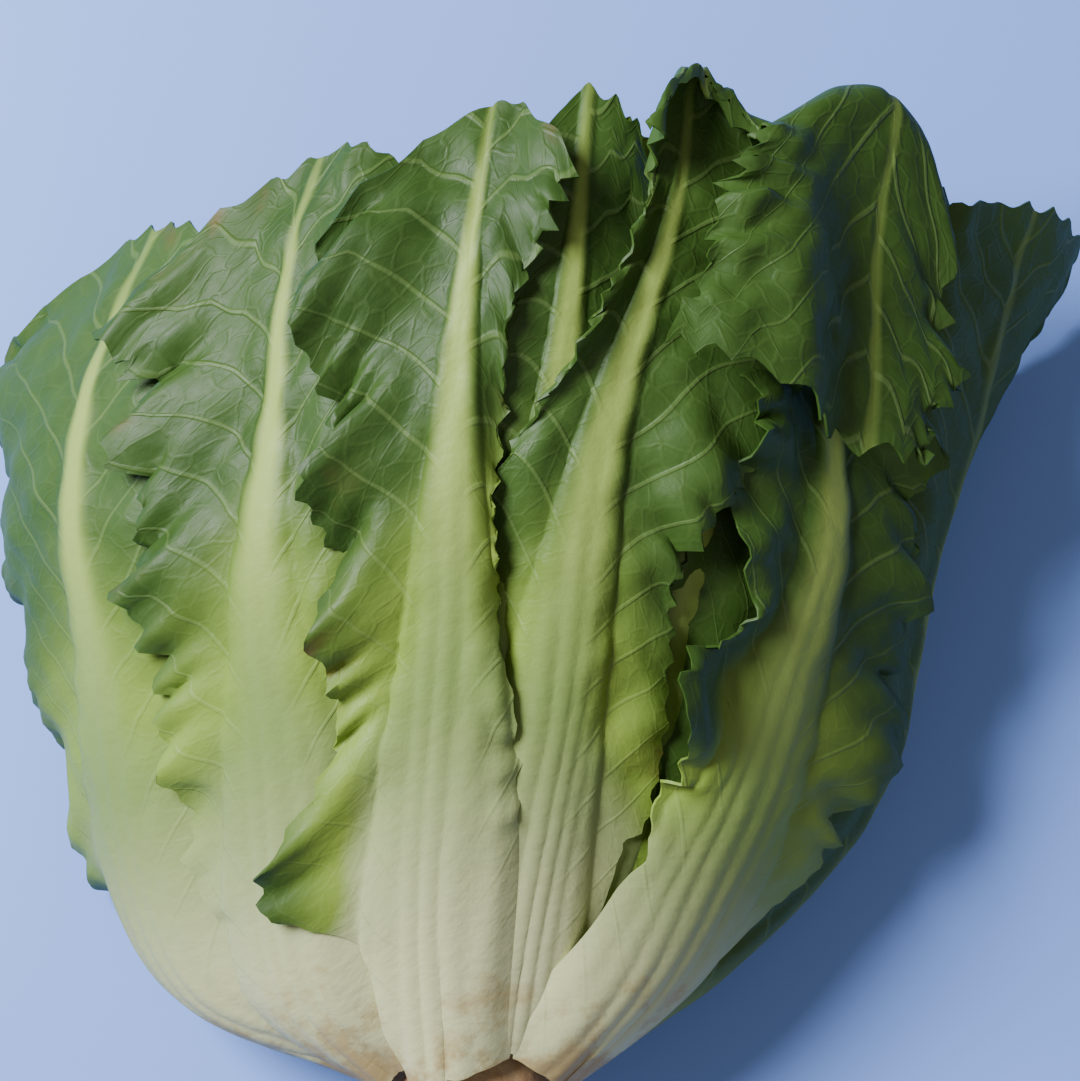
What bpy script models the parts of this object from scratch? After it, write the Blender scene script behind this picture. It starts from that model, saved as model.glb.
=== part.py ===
"""A head of escarole lying on its side, cut end towards -Y and leaf tips towards +Y.

Every leaf lies on its own shell of a nest of shells round the head's axis, so that no leaf crosses
another. Shell 0 is the outside of the head, and depth 1 is its middle. A leaf's place on its shell
is an angle round the axis, 0 at +X and 90 degrees on top, and a share of the way to the tips.
"""

import math
from collections import namedtuple

import bmesh
import bpy
import numpy as np
from mathutils import Vector, noise

# Outside of the head, as (radius from the axis, distance from the cut end) at even steps
RIGHT_SIDE = [(0.027, 0.006), (0.070, 0.036), (0.104, 0.076), (0.116, 0.129), (0.126, 0.182), (0.138, 0.234)]
LEFT_SIDE = [(0.027, 0.006), (0.087, 0.030), (0.121, 0.078), (0.139, 0.129), (0.148, 0.182), (0.126, 0.234)]
TOP_SIDE = [(0.027, 0.006), (0.044, 0.055), (0.059, 0.108), (0.069, 0.162), (0.073, 0.217), (0.064, 0.270)]
UNDER_SIDE = [(0.027, 0.006), (0.039, 0.055), (0.048, 0.106), (0.052, 0.158), (0.053, 0.211), (0.048, 0.262)]
MIDDLE = [(0.003, 0.082), (0.009, 0.106), (0.013, 0.134), (0.015, 0.164), (0.015, 0.196), (0.012, 0.230)]
WHOLE_LENGTH = 0.271
ROUNDNESS = 1.55  # of a cross-section's upper half: 2 is an ellipse, and less has sloping shoulders
SHOULDERS_FULL = 0.35  # share of the way to the tips where the shoulders have their full slope
SHELL_STEP = 0.105  # depth from one shell to the next

AXIS_LEAN = 0.10  # sideways run of the axis for each metre towards the tips
AXIS_HEIGHT_AT_CUT = 0.036
AXIS_HEIGHT_AT_BELLY = 0.054
BELLY_START = 0.17
SIDE_SAG = 0.018  # how far the widest leaves hang below the axis
WIDEST = 0.14

WAVE_HEIGHT = 0.0050  # slow waves that all leaves share, so that they nest
WAVE_LENGTH = 0.060
WAVES_START = 0.2  # shares of the way to the tips where the waves start and are full
WAVES_FULL = 0.8
WAVE_DRIFT = 1.2  # wave lengths by which the pattern moves from the outside to the middle
WAVE_SEED = 7.3
CALM_UNDERSIDE = 0.6  # share by which the waves are lower where the head lies on them
RUFFLE_HEIGHT = 0.0085  # waves along a leaf's margins, where no other leaf covers it
RUFFLE_LENGTH = 0.047
RUFFLE_SIDE_PHASE = 1.3
RUFFLE_RUN = 0.2  # share of a leaf over which the ruffles grow, from where its blade starts
CALM_MIDDLE = 0.25  # share of the half width beside the rib that has no ruffles
CALM_BELOW = 1.5  # how soon the ruffles end from the sides of the head to its underside
FOLD_BACK = 0.016  # how far the tips of uncovered leaves bend outwards
FOLD_START = 0.72
FOLD_RUN = 0.36
FOLD_AT_RIB = 0.4  # share of the bend that the rib itself makes
TURNED_BY = 0.7  # share of a leaf's length where its rib has made its whole turn
FREE_EDGE = 0.018  # distance from a covering leaf at which a leaf moves freely

BLADE = 0.0007  # leaf thickness away from the rib
LEAF_WIDTH_SHARES = [0.0, 0.0, 0.12, 0.44, 0.76, 0.97, 1.0, 0.74]  # blade, cut end to tip
RIB_WIDTH_SHARES = [1.0, 1.0, 0.84, 0.58, 0.37, 0.23, 0.13, 0.08]
RIB_THICKNESS = [0.0042, 0.0040, 0.0034, 0.0027, 0.0019, 0.0013, 0.0010, 0.0008]
BLADE_START = 0.22  # rows are closer from here to the tip
TIP_ROUNDNESS = 0.11
TIP_POWER = 2.5
TOOTH_DEPTH = 0.0055
TEETH_RUN = 0.15  # share of a leaf over which the teeth grow
TIP_TEETH_START = 0.8
LEAF_GAP = 0.003  # between neighbours on one shell
MARGIN_LOBES = 0.32  # share by which a leaf's width varies along it
MARGIN_LOBE_LENGTH = 0.055
LOBE_SEEDS = (0.37, 5)  # for each degree of a leaf's angle, and for each side of its rib
OUTER_SHARE = 0.7  # of a leaf's thickness, outside the surface that it is drawn on
RING_STEP = 5  # degrees between the points that measure a shell's girth
EDGE_SAMPLES = 13
FLAP_ROWS = 9
FLAP_BEND = 0.007  # radius that a tip folds over by
FLAP_DROOP = 0.06  # how much nearer its leaf a flap gets along its length
FLAP_CALM = 0.75  # share by which ruffles and fold are less where a leaf folds over

CUT_RADIUS = 0.0235
CUT_BEVEL = 0.0015
STEM_TOP = 0.047
STEM_CLEARANCE = 0.0019  # from the middle of a leaf's thickness at its root to the stem
STEM_SIDES = 28
SEEN_UP_TO = 200  # degrees; leaves from here round to 360 face the surface
SEEN_GRID = (8, 16)  # cells across and along
HIDDEN_GRID = (6, 11)
HEART_GRID = (4, 8)
HEART_START = 0.62  # depth
HEART_END = 0.93
HEART_LEAVES = 7
HEART_ROOT_COVER = 0.0025
HEART_LENGTH = 0.238
HEART_LEAF_STEP = 0.012  # each one is this much shorter than the one outside it
HEART_HALF_WIDTH = 0.034
HEART_STALK = 0.011
HEART_TAPER = 0.5  # share by which the innermost leaf is smaller than the first
HEART_RINGS = 4
GOLDEN_ANGLE = 137.5

FLAT_SPOT = 0.0020  # what reaches less than this above the lowest point is pressed flat
FLAT_BLADE = 0.00062  # least thickness over the flat spot

DARK_GREEN = (0.060, 0.150, 0.018, 1.0)
GREEN = (0.095, 0.215, 0.030, 1.0)
YELLOW_GREEN = (0.420, 0.500, 0.120, 1.0)
CREAM = (0.620, 0.560, 0.360, 1.0)

# Angle, half widths towards larger (left) and smaller (right) angles, stalk half width, turn of the tip,
# how much later than usual the blade starts on either side, and length of the tip that folds over
LEAF_VALUES = "name angle shell length left right stalk turn left_late right_late flap"
Leaf = namedtuple("Leaf", LEAF_VALUES, defaults=(0, 0, 0))
OUTER_LEAVES = [
    Leaf("leaf_centre_left", 107, 0, 0.262, 0.056, 0.034, 0.0190, -1),
    Leaf("leaf_right_folded", 36, 0, 0.262, 0.060, 0.054, 0.0190, -3, 0.34, -0.15, 0.080),
    Leaf("leaf_right_edge", -14, 0, 0.276, 0.056, 0.048, 0.0185, 14, -0.2),
    Leaf("leaf_left_upper", 147, 0, 0.276, 0.046, 0.048, 0.0190, -5),
    Leaf("leaf_left_edge", 186, 0, 0.270, 0.048, 0.052, 0.0190, -20),
    Leaf("leaf_left_under", 225, 0, 0.264, 0.052, 0.050, 0.0190, -20, 0, -0.15),
    Leaf("leaf_under", 264, 0, 0.266, 0.050, 0.048, 0.0190, -6),
    Leaf("leaf_right_under", 309, 0, 0.268, 0.046, 0.046, 0.0185, 5),
    Leaf("leaf_centre_right", 79, 1, 0.275, 0.040, 0.042, 0.0170, -4),
    Leaf("leaf_left_middle", 128, 1, 0.270, 0.046, 0.046, 0.0180, 0),
    Leaf("leaf_left_side", 168, 1, 0.274, 0.048, 0.048, 0.0180, -8),
    Leaf("leaf_left_low", 208, 1, 0.266, 0.050, 0.050, 0.0180, -18),
    Leaf("leaf_left_lining", 248, 1, 0.258, 0.048, 0.048, 0.0180, -14),
    Leaf("leaf_under_lining", 291, 1, 0.262, 0.050, 0.050, 0.0180, 0),
    Leaf("leaf_right_low", 336, 1, 0.270, 0.050, 0.050, 0.0180, 5),
    Leaf("leaf_right_side", 17, 1, 0.278, 0.052, 0.050, 0.0180, 0),
    Leaf("leaf_right_narrow", 45, 2, 0.262, 0.032, 0.040, 0.0150, 0),
    Leaf("leaf_top_middle", 94, 2, 0.278, 0.040, 0.038, 0.0160, -5),
    Leaf("leaf_top_left", 148, 2, 0.276, 0.050, 0.050, 0.0170, 0),
    Leaf("leaf_back_left", 207, 2, 0.260, 0.050, 0.050, 0.0160, -8),
    Leaf("leaf_back", 267, 2, 0.256, 0.050, 0.050, 0.0160, 0),
    Leaf("leaf_back_right", 322, 2, 0.264, 0.050, 0.050, 0.0160, 3),
]
INNER_LEAVES = [
    Leaf("inner_leaf_1", 76, 3, 0.274, 0.044, 0.044, 0.0135, 0),
    Leaf("inner_leaf_2", 140, 3, 0.266, 0.044, 0.044, 0.0135, 0),
    Leaf("inner_leaf_3", 218, 3, 0.252, 0.046, 0.046, 0.0135, 0),
    Leaf("inner_leaf_4", 292, 3, 0.250, 0.046, 0.046, 0.0135, 0),
    Leaf("inner_leaf_5", 8, 3, 0.266, 0.046, 0.046, 0.0135, 0),
    Leaf("inner_leaf_6", 42, 4, 0.252, 0.040, 0.040, 0.0115, 0),
    Leaf("inner_leaf_7", 108, 4, 0.256, 0.040, 0.040, 0.0115, 0),
    Leaf("inner_leaf_8", 186, 4, 0.246, 0.042, 0.042, 0.0115, 0),
    Leaf("inner_leaf_9", 274, 4, 0.236, 0.042, 0.042, 0.0115, 0),
    Leaf("inner_leaf_10", 345, 4, 0.244, 0.042, 0.042, 0.0115, 0),
]


def spline(points, share):
    """A smooth curve through evenly spaced points, at share 0 to 1, straight beyond the ends."""
    points = np.asarray(points, float)
    share = np.asarray(share, float)
    last = len(points) - 1
    place = np.clip(share, 0, 1) * last
    low = np.clip(place.astype(int), 0, last - 1)
    t = place - low
    padded = np.concatenate([[2 * points[0] - points[1]], points, [2 * points[-1] - points[-2]]])
    before, start, end, after = (padded[low + k] for k in range(4))
    beyond = (share - np.clip(share, 0, 1)) * last
    if points.ndim == 2:
        t = t[..., None]
        beyond = beyond[..., None]
    value = 0.5 * (
        2 * start
        + (end - before) * t
        + (2 * before - 5 * start + 4 * end - after) * t**2
        + (3 * start - before - 3 * end + after) * t**3
    )
    slope = np.where(beyond > 0, points[-1] - points[-2], points[1] - points[0])
    return value + beyond * slope


def smooth_step(value):
    value = np.clip(value, 0, 1)
    return value * value * (3 - 2 * value)


def shell_point(angle, share, depth):
    """The point of a shell, before the waves, with the axis straight along Y."""
    cosine, sine = np.cos(angle), np.sin(angle)
    inner = spline(MIDDLE, share)
    side = np.where((cosine >= 0)[..., None], spline(RIGHT_SIDE, share), spline(LEFT_SIDE, share))
    lift = np.where((sine >= 0)[..., None], spline(TOP_SIDE, share), spline(UNDER_SIDE, share))
    side = side + (inner - side) * depth[..., None]
    lift = lift + (inner - lift) * depth[..., None]
    power = 2 - (2 - ROUNDNESS) * smooth_step(share / SHOULDERS_FULL) * (sine >= 0)
    reach = np.abs(cosine / side[..., 0]) ** power + np.abs(sine / lift[..., 0]) ** power
    radius = reach ** (-1 / power)
    along = cosine**2 * side[..., 1] + sine**2 * lift[..., 1]
    return np.stack([radius * cosine, along, radius * sine], axis=-1)


def wave(points, depth):
    """A slow random wave, the same for every run, that changes little from shell to shell."""
    flat = points.reshape(-1, 3) / WAVE_LENGTH
    drift = np.broadcast_to(depth, points.shape[:-1]).reshape(-1) * WAVE_DRIFT
    values = [noise.noise(Vector((p[0], p[1] + d, p[2] + WAVE_SEED))) for p, d in zip(flat, drift)]
    return np.array(values).reshape(points.shape[:-1])


def lay_down(points):
    """Leans the axis, lifts it over the surface and lets the sides sag, as the head lies."""
    x, along, z = points[..., 0], points[..., 1], points[..., 2]
    x = x + AXIS_LEAN * along
    rise = smooth_step(along / BELLY_START)
    axis_height = AXIS_HEIGHT_AT_CUT + (AXIS_HEIGHT_AT_BELLY - AXIS_HEIGHT_AT_CUT) * rise
    z = z + axis_height - SIDE_SAG * (x / WIDEST) ** 2
    return np.stack([x, along, z], axis=-1)


def room_of(angle, share):
    """Distance from the outside of the head to its middle."""
    outside = shell_point(angle, share, np.zeros_like(share))
    middle = shell_point(angle, share, np.ones_like(share))
    return np.linalg.norm(outside - middle, axis=-1)


def head_point(angle, share, depth):
    """Where a place on a shell is in the lying head, waves and all."""
    outside = shell_point(angle, share, np.zeros_like(depth))
    growth = smooth_step((share - WAVES_START) / (WAVES_FULL - WAVES_START))
    growth = growth * (1 - CALM_UNDERSIDE * smooth_step(-np.sin(angle)))
    waved = depth + wave(outside, depth) * 2 * WAVE_HEIGHT * growth / room_of(angle, share)
    return lay_down(shell_point(angle, share, waved))


def ring(start, share, depth):
    """Angles round a shell, and how far each is from the start angle along the shell."""
    turn = np.radians(np.arange(-180, 181, RING_STEP)) + start
    flat = np.full(turn.shape, 1.0)
    places = shell_point(turn, flat * share, flat * depth)
    step = np.linalg.norm(np.diff(places, axis=0), axis=1)
    length = np.concatenate([[0], np.cumsum(step)])
    return turn, length - np.interp(start, turn, length)


def on_blade(v, run):
    """0 on a leaf's stalk, growing to 1 over this share of its length where its blade starts."""
    return smooth_step((v - BLADE_START) / run)


def middle_angle(leaf, v):
    return math.radians(leaf.angle + leaf.turn * float(smooth_step(v / TURNED_BY)))


def next_angles(leaf, v, leaves):
    """Angles from a leaf's rib to the ribs of its neighbours on the same shell, at side 1 and -1."""
    own = middle_angle(leaf, v)
    others = [other for other in leaves if other.shell == leaf.shell and other is not leaf]
    turns = [(middle_angle(other, v) - own) % (2 * math.pi) for other in others] or [math.pi]
    return min(turns), max(turns) - 2 * math.pi


def blade_share(v, late):
    """Share of a blade's full width at v."""
    return float(spline(LEAF_WIDTH_SHARES, max((v - late) / (1 - late), 0)))


def half_widths(leaf, v, leaves):
    """Half widths of a leaf at v, 0 at its root and 1 at its tip, to side 1 and -1 of its rib."""
    middle = middle_angle(leaf, v)
    turns, distance = ring(middle, v * leaf.length / WHOLE_LENGTH, leaf.shell * SHELL_STEP)
    teeth = TOOTH_DEPTH * on_blade(v, TEETH_RUN)
    lates = (leaf.left_late, leaf.right_late)
    widths = []
    for side, blade, late, gap in zip((1, -1), (leaf.left, leaf.right), lates, next_angles(leaf, v, leaves)):
        seed = leaf.angle * LOBE_SEEDS[0] + side * LOBE_SEEDS[1]
        lobe = noise.noise(Vector((v * leaf.length / MARGIN_LOBE_LENGTH, seed, leaf.shell)))
        blade_width = max(blade * blade_share(v, late) * (1 + MARGIN_LOBES * lobe), 0)
        wanted = blade_width + leaf.stalk * float(spline(RIB_WIDTH_SHARES, v))
        room = abs(float(np.interp(middle + gap / 2, turns, distance)))
        widths.append(min(wanted, room - (LEAF_GAP + teeth) / 2))
    return widths


def edge_angles(leaf, leaves):
    """Angles of a leaf's two margins at even steps along it."""
    rows = []
    for v in np.linspace(0, 1, EDGE_SAMPLES):
        left, right = half_widths(leaf, v, leaves)
        share = v * leaf.length / WHOLE_LENGTH
        turns, distance = ring(middle_angle(leaf, v), share, leaf.shell * SHELL_STEP)
        rows.append(np.interp([left, -right], distance, turns))
    return np.array(rows)


def freedom(leaf, angles, share, covers):
    """1 where no leaf further out covers this one, down to 0 where one does."""
    free = np.ones(angles.shape)
    place = shell_point(angles, share, np.full(angles.shape, leaf.shell * SHELL_STEP))
    radius = np.hypot(place[..., 0], place[..., 2])
    for other, edges in covers:
        if other.shell >= leaf.shell:
            continue
        v = share * WHOLE_LENGTH / other.length
        steps = np.linspace(0, 1, len(edges))
        high = np.interp(v, steps, edges[:, 0])
        low = np.interp(v, steps, edges[:, 1])
        centre = (high + low) / 2
        away = np.abs((angles - centre + math.pi) % (2 * math.pi) - math.pi) - (high - low) / 2
        beyond = np.maximum(away * radius, (v - 1) * other.length)
        free *= smooth_step(beyond / FREE_EDGE)
    return free


def leaf_rows(leaf, rows):
    """Values along a leaf: a quarter of the rows on the stalk, the others on the blade, 1 at the fold."""
    stalk_rows = rows // 4
    stalk = np.linspace(0, BLADE_START, stalk_rows + 1)[:-1]
    blade = np.linspace(BLADE_START, 1, rows + 1 - stalk_rows)
    flap = np.linspace(1, 1 + leaf.flap / leaf.length, FLAP_ROWS + 1)[1:] if leaf.flap else []
    return np.concatenate([stalk, blade, flap])


def folded_over(over):
    """How far along and outwards a place is that lies this far beyond the fold of its leaf."""
    turned = np.minimum(over / FLAP_BEND, math.pi)
    hanging = np.maximum(over - math.pi * FLAP_BEND, 0)
    along = FLAP_BEND * np.sin(turned) - hanging
    return along, FLAP_BEND * (1 - np.cos(turned)) - FLAP_DROOP * hanging


def leaf_places(leaf, columns, rows, leaves):
    """Where a leaf's points lie, in rows from the cut end to the tip, and its thickness at each.

    Gives each point's angle, share of the way to the tips of the head, share of the leaf's own
    length, distance outwards where the tip is folded over, and thickness.
    """
    depth = leaf.shell * SHELL_STEP
    across = np.linspace(-1, 1, columns + 1)
    every_other = np.arange(columns + 1) % 2 - 0.5
    angles, shares, along, outwards, thickness = [], [], [], [], []
    for row, place in enumerate(leaf_rows(leaf, rows)):
        v = min(place, 1)
        tooth = TOOTH_DEPTH * (row % 2 - 0.5) * on_blade(v, TEETH_RUN)
        widths = np.where(across > 0, *half_widths(leaf, v, leaves))
        distance = across * widths + np.sign(across) * tooth * across**4
        to_tip = place / (1 + leaf.flap / leaf.length)
        tip_growth = smooth_step((to_tip - TIP_TEETH_START) / (1 - TIP_TEETH_START))
        tip_tooth = TOOTH_DEPTH * every_other * tip_growth
        over, outward = folded_over(leaf.length * (place - v))
        reach = leaf.length * (v - TIP_ROUNDNESS * v**TIP_POWER * across**2) + tip_tooth + over
        turns, lengths = ring(middle_angle(leaf, v), v * leaf.length / WHOLE_LENGTH, depth)
        rib_width = leaf.stalk * float(spline(RIB_WIDTH_SHARES, v))
        rib = float(spline(RIB_THICKNESS, v))
        angles.append(np.interp(distance, lengths, turns))
        shares.append(reach / WHOLE_LENGTH)
        along.append(np.full(across.shape, v))
        outwards.append(np.full(across.shape, outward))
        thickness.append(BLADE + (rib - BLADE) * np.exp(-((distance / rib_width) ** 2)))
    return [np.array(rows) for rows in (angles, shares, along, outwards, thickness)]


def outward_bend(leaf, angles, shares, v, covers):
    """How far an uncovered leaf's ruffles and folded tip stand out from its shell."""
    across = np.linspace(-1, 1, angles.shape[1])
    margin = smooth_step((np.abs(across) - CALM_MIDDLE) / (1 - CALM_MIDDLE))
    phase = 2 * math.pi * v * leaf.length / RUFFLE_LENGTH + np.sign(across) * RUFFLE_SIDE_PHASE + leaf.angle
    ruffle = RUFFLE_HEIGHT * (0.5 + 0.5 * np.sin(phase)) * margin * on_blade(v, RUFFLE_RUN)
    tip = smooth_step((v - FOLD_START) / FOLD_RUN)
    fold = FOLD_BACK * tip * (FOLD_AT_RIB + (1 - FOLD_AT_RIB) * margin)
    calm = FLAP_CALM * tip if leaf.flap else 0
    upper = 1 - smooth_step(-CALM_BELOW * np.sin(angles))
    return freedom(leaf, angles, shares, covers) * upper * (ruffle + fold) * (1 - calm)


def leaf_grid(leaf, columns, rows, leaves, covers):
    """Points and thickness of a leaf, in rows from the cut end to the tip."""
    angles, shares, v, outwards, thickness = leaf_places(leaf, columns, rows, leaves)
    bend = outward_bend(leaf, angles, shares, v, covers) + outwards
    depth = leaf.shell * SHELL_STEP - bend / room_of(angles, shares)
    return head_point(angles, shares, depth), thickness


def closed_leaf(points, thickness):
    """Verts and triangles of a closed leaf: both faces split alike, and a rim between them."""
    down = np.gradient(points, axis=0)
    over = np.gradient(points, axis=1)
    normal = np.cross(over, down)
    normal /= np.linalg.norm(normal, axis=-1, keepdims=True)
    outer = points - normal * (OUTER_SHARE * thickness)[..., None]
    inner = points + normal * ((1 - OUTER_SHARE) * thickness)[..., None]
    rows, columns = thickness.shape
    count = rows * columns
    faces = []
    for r in range(rows - 1):
        for c in range(columns - 1):
            a, b = r * columns + c, r * columns + c + 1
            d, e = a + columns, b + columns
            for triangle in ((a, b, e), (a, e, d)) if (r + c) % 2 else ((a, b, d), (b, e, d)):
                faces.append(triangle)
                faces.append(tuple(count + k for k in reversed(triangle)))
    rim = list(range(columns))
    rim += [r * columns + columns - 1 for r in range(1, rows)]
    rim += [(rows - 1) * columns + c for c in range(columns - 2, -1, -1)]
    rim += [r * columns for r in range(rows - 2, 0, -1)]
    for a, b in zip(rim, rim[1:] + rim[:1]):
        faces.append((b, a, count + a))
        faces.append((b, count + a, count + b))
    return np.concatenate([outer.reshape(-1, 3), inner.reshape(-1, 3)]), faces


def turned(profile, sides):
    """Verts and faces of a solid turned round the head's axis from (radius, distance) points."""
    angles = np.linspace(0, 2 * math.pi, sides, endpoint=False)
    rings = [
        np.stack([r * np.cos(angles), np.full(sides, y), r * np.sin(angles)], axis=-1)
        for r, y in profile
    ]
    faces = [tuple(range(sides)), tuple(reversed(range((len(profile) - 1) * sides, len(profile) * sides)))]
    for ring in range(len(profile) - 1):
        for k in range(sides):
            a, b = ring * sides + k, ring * sides + (k + 1) % sides
            faces.append((a, a + sides, b + sides, b))
    return lay_down(np.concatenate(rings)), faces


def root_at(depth):
    """Radius and distance of the roots of the leaves at this depth."""
    return [a + (b - a) * depth for a, b in zip(TOP_SIDE[0], MIDDLE[0])]


def material(name, colour, roughness):
    made = bpy.data.materials.new(name)
    made.use_nodes = True
    shader = made.node_tree.nodes["Principled BSDF"]
    shader.inputs["Base Color"].default_value = colour
    shader.inputs["Roughness"].default_value = roughness
    return made


def add_object(name, verts, faces, finish):
    mesh = bpy.data.meshes.new(name)
    mesh.from_pydata([tuple(v) for v in verts], [], faces)
    work = bmesh.new()
    work.from_mesh(mesh)
    bmesh.ops.recalc_face_normals(work, faces=work.faces)
    work.to_mesh(mesh)
    work.free()
    mesh.shade_smooth()
    made = bpy.data.objects.new(name, mesh)
    made.data.materials.append(finish)
    bpy.context.scene.collection.objects.link(made)
    return made


def add_stem(finish):
    """The stem inside the leaf roots, with its cut end at Y 0."""
    first, last = root_at(0), root_at(1)
    slope = (last[0] - first[0]) / (last[1] - first[1])
    cone = [(first[0] + slope * (y - first[1]) - STEM_CLEARANCE, y) for y in (first[1], STEM_TOP)]
    profile = [(CUT_RADIUS - CUT_BEVEL, 0.0), (CUT_RADIUS, CUT_BEVEL), *cone]
    verts, faces = turned(profile, STEM_SIDES)
    return add_object("cut_stem", verts, faces, finish)


def add_heart(finish, covers):
    """The pale leaves in the middle, on one short stem, as one solid."""
    depths = np.linspace(HEART_START, HEART_END, HEART_LEAVES)
    profile = []
    for depth in np.linspace(HEART_START, 1, HEART_RINGS):
        radius, along = root_at(depth)
        profile.append((radius + HEART_ROOT_COVER, along))
    verts, faces = turned(profile, STEM_SIDES // 2)
    heart = add_object("heart", verts, faces, finish)
    others = bpy.data.collections.new("heart_leaves")
    bpy.context.scene.collection.children.link(others)
    for count, depth in enumerate(depths):
        smaller = 1 - HEART_TAPER * count / HEART_LEAVES
        leaf = Leaf(
            "heart_leaf",
            (GOLDEN_ANGLE * count) % 360,
            depth / SHELL_STEP,
            HEART_LENGTH - HEART_LEAF_STEP * count,
            HEART_HALF_WIDTH * smaller,
            HEART_HALF_WIDTH * smaller,
            HEART_STALK * smaller,
            0,
        )
        points, thickness = leaf_grid(leaf, *HEART_GRID, [], covers)
        verts, faces = closed_leaf(points, thickness)
        blade = add_object(f"heart_leaf_{count}", verts, faces, finish)
        bpy.context.scene.collection.objects.unlink(blade)
        others.objects.link(blade)
    union = heart.modifiers.new("leaves", "BOOLEAN")
    union.operation = "UNION"
    union.operand_type = "COLLECTION"
    union.collection = others
    union.solver = "MANIFOLD"
    bpy.context.view_layer.objects.active = heart
    bpy.ops.object.modifier_apply(modifier=union.name)
    for blade in list(others.objects):
        bpy.data.objects.remove(blade)
    bpy.data.collections.remove(others)
    return heart


def press_flat(leaves):
    """Gives the lowest leaves one flat spot to rest on."""
    lowest = min(v.co.z for leaf in leaves for v in leaf.data.vertices)
    flat = lowest + FLAT_SPOT
    outer = [leaf for leaf, row in zip(leaves, OUTER_LEAVES) if row.shell == 0]
    for leaf in outer:
        count = len(leaf.data.vertices) // 2
        for index, vertex in enumerate(leaf.data.vertices):
            least = flat if index < count else flat + FLAT_BLADE
            vertex.co.z = max(vertex.co.z, least)


def stand_on_origin(pieces):
    """Moves everything so that the middle of the underside of the whole box is the origin."""
    places = np.array([v.co for piece in pieces for v in piece.data.vertices])
    low, high = places.min(axis=0), places.max(axis=0)
    shift = Vector((-(low[0] + high[0]) / 2, -(low[1] + high[1]) / 2, -low[2]))
    for piece in pieces:
        for vertex in piece.data.vertices:
            vertex.co += shift


def main():
    for old in list(bpy.data.objects):
        bpy.data.objects.remove(old)
    green = material("leaf_green", GREEN, 0.5)
    dark_green = material("leaf_dark_green", DARK_GREEN, 0.45)
    yellow_green = material("heart_yellow_green", YELLOW_GREEN, 0.55)
    cream = material("stem_cream", CREAM, 0.7)
    leaves = OUTER_LEAVES + INNER_LEAVES
    covers = [(leaf, edge_angles(leaf, leaves)) for leaf in leaves]
    pieces = []
    for leaf in leaves:
        seen = leaf in OUTER_LEAVES and leaf.angle < SEEN_UP_TO
        columns, rows = SEEN_GRID if seen else HIDDEN_GRID
        points, thickness = leaf_grid(leaf, columns, rows, leaves, covers)
        finish = dark_green if leaf in OUTER_LEAVES else green
        pieces.append(add_object(leaf.name, *closed_leaf(points, thickness), finish))
    press_flat(pieces[:len(OUTER_LEAVES)])
    pieces.append(add_stem(cream))
    pieces.append(add_heart(yellow_green, covers))
    stand_on_origin(pieces)


main()
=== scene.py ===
# A head of escarole lying on its side: fine leaves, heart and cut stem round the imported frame.
import math
from types import SimpleNamespace

import bpy
import numpy as np
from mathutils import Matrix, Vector, noise


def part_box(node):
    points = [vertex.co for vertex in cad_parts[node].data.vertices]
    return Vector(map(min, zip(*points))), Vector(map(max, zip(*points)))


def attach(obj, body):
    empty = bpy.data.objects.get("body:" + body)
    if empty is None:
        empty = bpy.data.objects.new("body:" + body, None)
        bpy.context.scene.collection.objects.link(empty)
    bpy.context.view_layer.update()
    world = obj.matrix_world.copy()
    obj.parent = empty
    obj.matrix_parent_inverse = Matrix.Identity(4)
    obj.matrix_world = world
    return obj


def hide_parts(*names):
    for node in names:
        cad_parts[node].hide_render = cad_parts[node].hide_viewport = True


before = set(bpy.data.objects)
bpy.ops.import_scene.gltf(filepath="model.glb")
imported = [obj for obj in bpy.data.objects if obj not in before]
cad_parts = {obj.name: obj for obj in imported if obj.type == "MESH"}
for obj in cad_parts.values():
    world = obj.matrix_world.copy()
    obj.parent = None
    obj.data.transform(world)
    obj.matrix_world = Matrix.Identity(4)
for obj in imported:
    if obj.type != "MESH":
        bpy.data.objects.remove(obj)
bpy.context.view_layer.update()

# The head is a nest of shells round its axis. Depth 0 is the outside and depth 1 the middle.
# A place on a shell is an angle round the axis, 0 at +X and 90 degrees on top, and a share of
# the way to the tips. The sides are (radius from the axis, distance from the cut end).
headForm = {
    "rightSide": [
        (0.027, 0.006), (0.070, 0.036), (0.104, 0.076), (0.116, 0.129), (0.126, 0.182), (0.138, 0.234)
    ],
    "leftSide": [
        (0.027, 0.006), (0.087, 0.030), (0.121, 0.078), (0.139, 0.129), (0.148, 0.182), (0.126, 0.234)
    ],
    "topSide": [
        (0.027, 0.006), (0.044, 0.055), (0.059, 0.108), (0.069, 0.162), (0.073, 0.217), (0.064, 0.270)
    ],
    "underSide": [
        (0.027, 0.006), (0.039, 0.055), (0.048, 0.106), (0.052, 0.158), (0.053, 0.211), (0.048, 0.262)
    ],
    "middle": [
        (0.003, 0.082), (0.009, 0.106), (0.013, 0.134), (0.015, 0.164), (0.015, 0.196), (0.012, 0.230)
    ],
    "length": 0.271,
    "roundness": 1.55,  # 2 is an ellipse, less has sloping shoulders, on the upper half only
    "shouldersFull": 0.35,
    "shellStep": 0.105,
    "axisLean": 0.10,
    "axisHeightAtCut": 0.036,
    "axisHeightAtBelly": 0.054,
    "bellyStart": 0.17,
    "sideSag": 0.018,
    "widest": 0.14,
    "waveHeight": 0.0050,
    "waveLength": 0.060,
    "wavesStart": 0.2,
    "wavesFull": 0.8,
    "waveDrift": 1.2,
    "waveSeed": 7.3,
    "calmUnderside": 0.6,
    "girthStep": 5,  # degrees between the points that measure a shell's girth
}

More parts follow.
